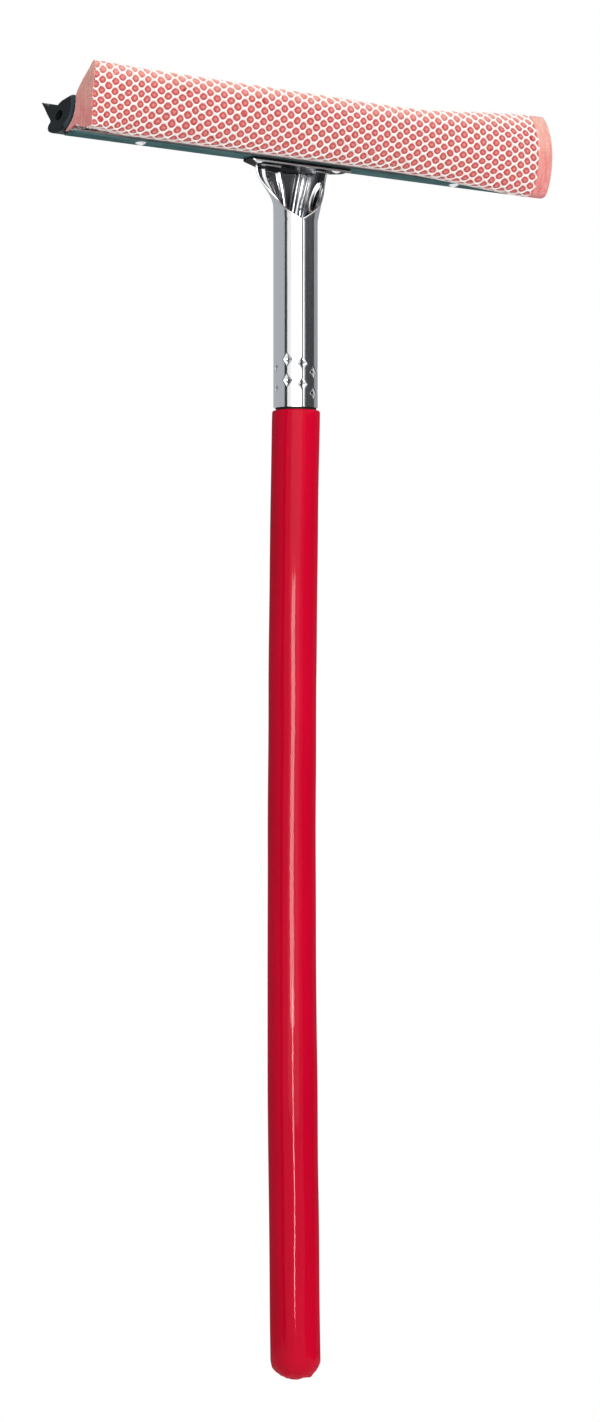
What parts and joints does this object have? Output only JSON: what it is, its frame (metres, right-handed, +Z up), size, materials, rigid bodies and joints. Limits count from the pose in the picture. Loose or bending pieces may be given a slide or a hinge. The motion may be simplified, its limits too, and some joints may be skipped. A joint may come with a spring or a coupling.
{
  "type": "window scrubber",
  "caption": "Hand-held window washer with a netted foam sponge and a rubber wiping blade in a folded steel head, on a pressed ferrule and a turned wooden handle",
  "frame": {"origin": "on the handle's axis, at the centre of the round butt, where the grip reaches its full width", "axes": "+Z runs up the handle to the head, +X runs along the head, -Y is the sponge side and +Y the rubber side"},
  "size_m": [0.2575, 0.0456, 0.5853],
  "materials": {
    "painted_wood": "glossy red paint over turned wood",
    "bright_steel": "bright plated sheet steel",
    "galvanised_steel": "dull galvanised sheet steel",
    "black_rubber": "smooth extruded black rubber",
    "pink_foam": "open-cell pink foam",
    "white_nylon": "knotless white nylon net"
  },
  "bodies": {
    "root": {"handle": "painted_wood", "ferrule": "bright_steel", "bracket_plate": "galvanised_steel", "bracket_rivets": "bright_steel", "head_channel": "galvanised_steel", "channel_rivets": "bright_steel", "clamp_strip": "galvanised_steel", "rubber_blade": "black_rubber", "sponge": "pink_foam", "net_sleeve": "white_nylon"}
  },
  "joints": []
}
